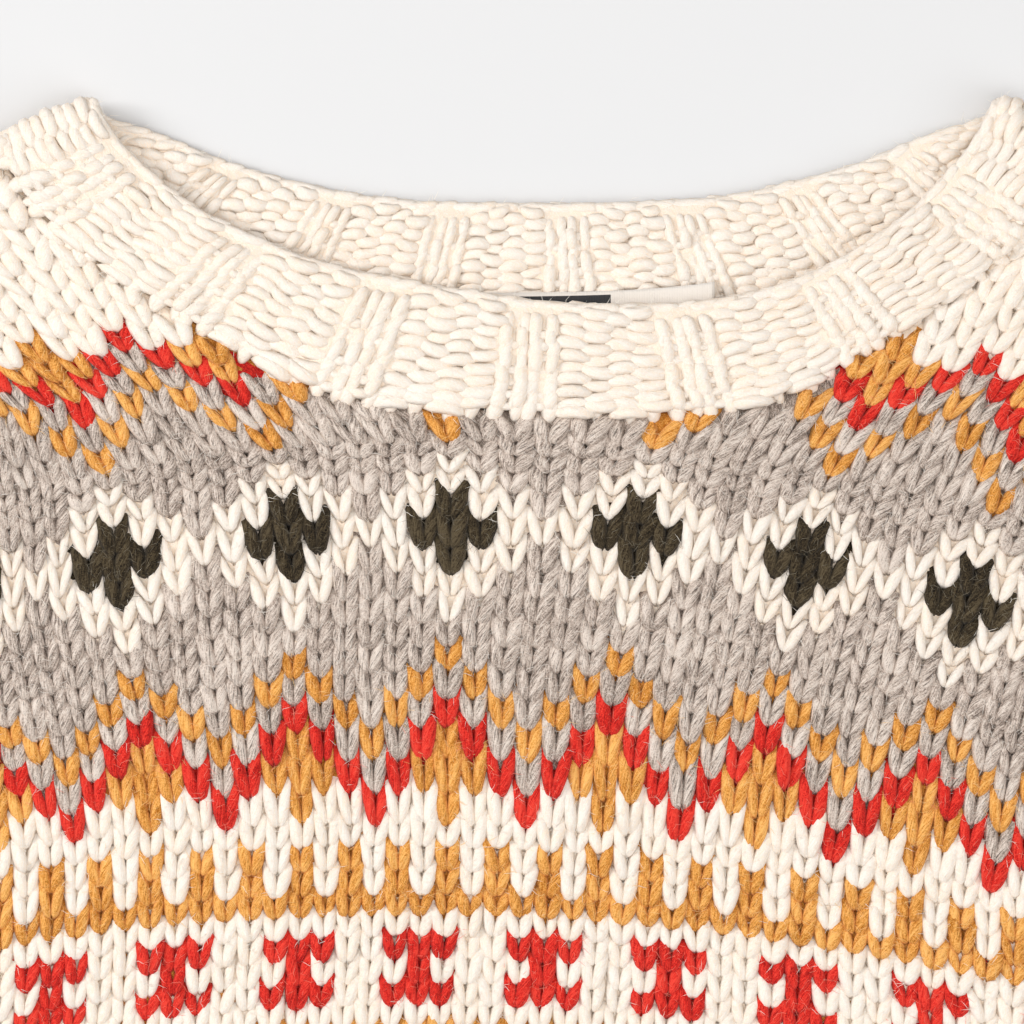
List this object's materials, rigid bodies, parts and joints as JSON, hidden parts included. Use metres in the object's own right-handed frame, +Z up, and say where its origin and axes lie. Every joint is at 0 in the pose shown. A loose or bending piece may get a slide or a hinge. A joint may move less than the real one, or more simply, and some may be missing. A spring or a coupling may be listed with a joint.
{
  "type": "fair isle sweater",
  "caption": "Hand-knitted crew-neck fair isle pullover in bulky cream yarn with banded yoke, drop shoulders and ribbed neck, hem and cuffs, laid flat front up.",
  "frame": {"origin": "on the surface the garment lies on, under the middle of its box", "axes": "+X towards the wearer's left sleeve, +Y towards the neck, +Z up out of the garment's front"},
  "size_m": [1.4392, 0.6495, 0.0119],
  "materials": {
    "fair_isle_knit": "thick wool stockinette with stranded colour bands",
    "cream_knit": "thick wool stockinette",
    "cream_rib": "thick wool two by two rib",
    "label_weave": "smooth woven ribbon"
  },
  "bodies": {
    "root": {"front": "fair_isle_knit", "back": "fair_isle_knit", "hem_rib_front": "cream_rib", "hem_rib_back": "cream_rib", "sleeve_left": "cream_knit", "sleeve_right": "cream_knit", "cuff_left": "cream_rib", "cuff_right": "cream_rib", "neckband": "cream_rib", "neck_label": "label_weave"}
  },
  "joints": []
}
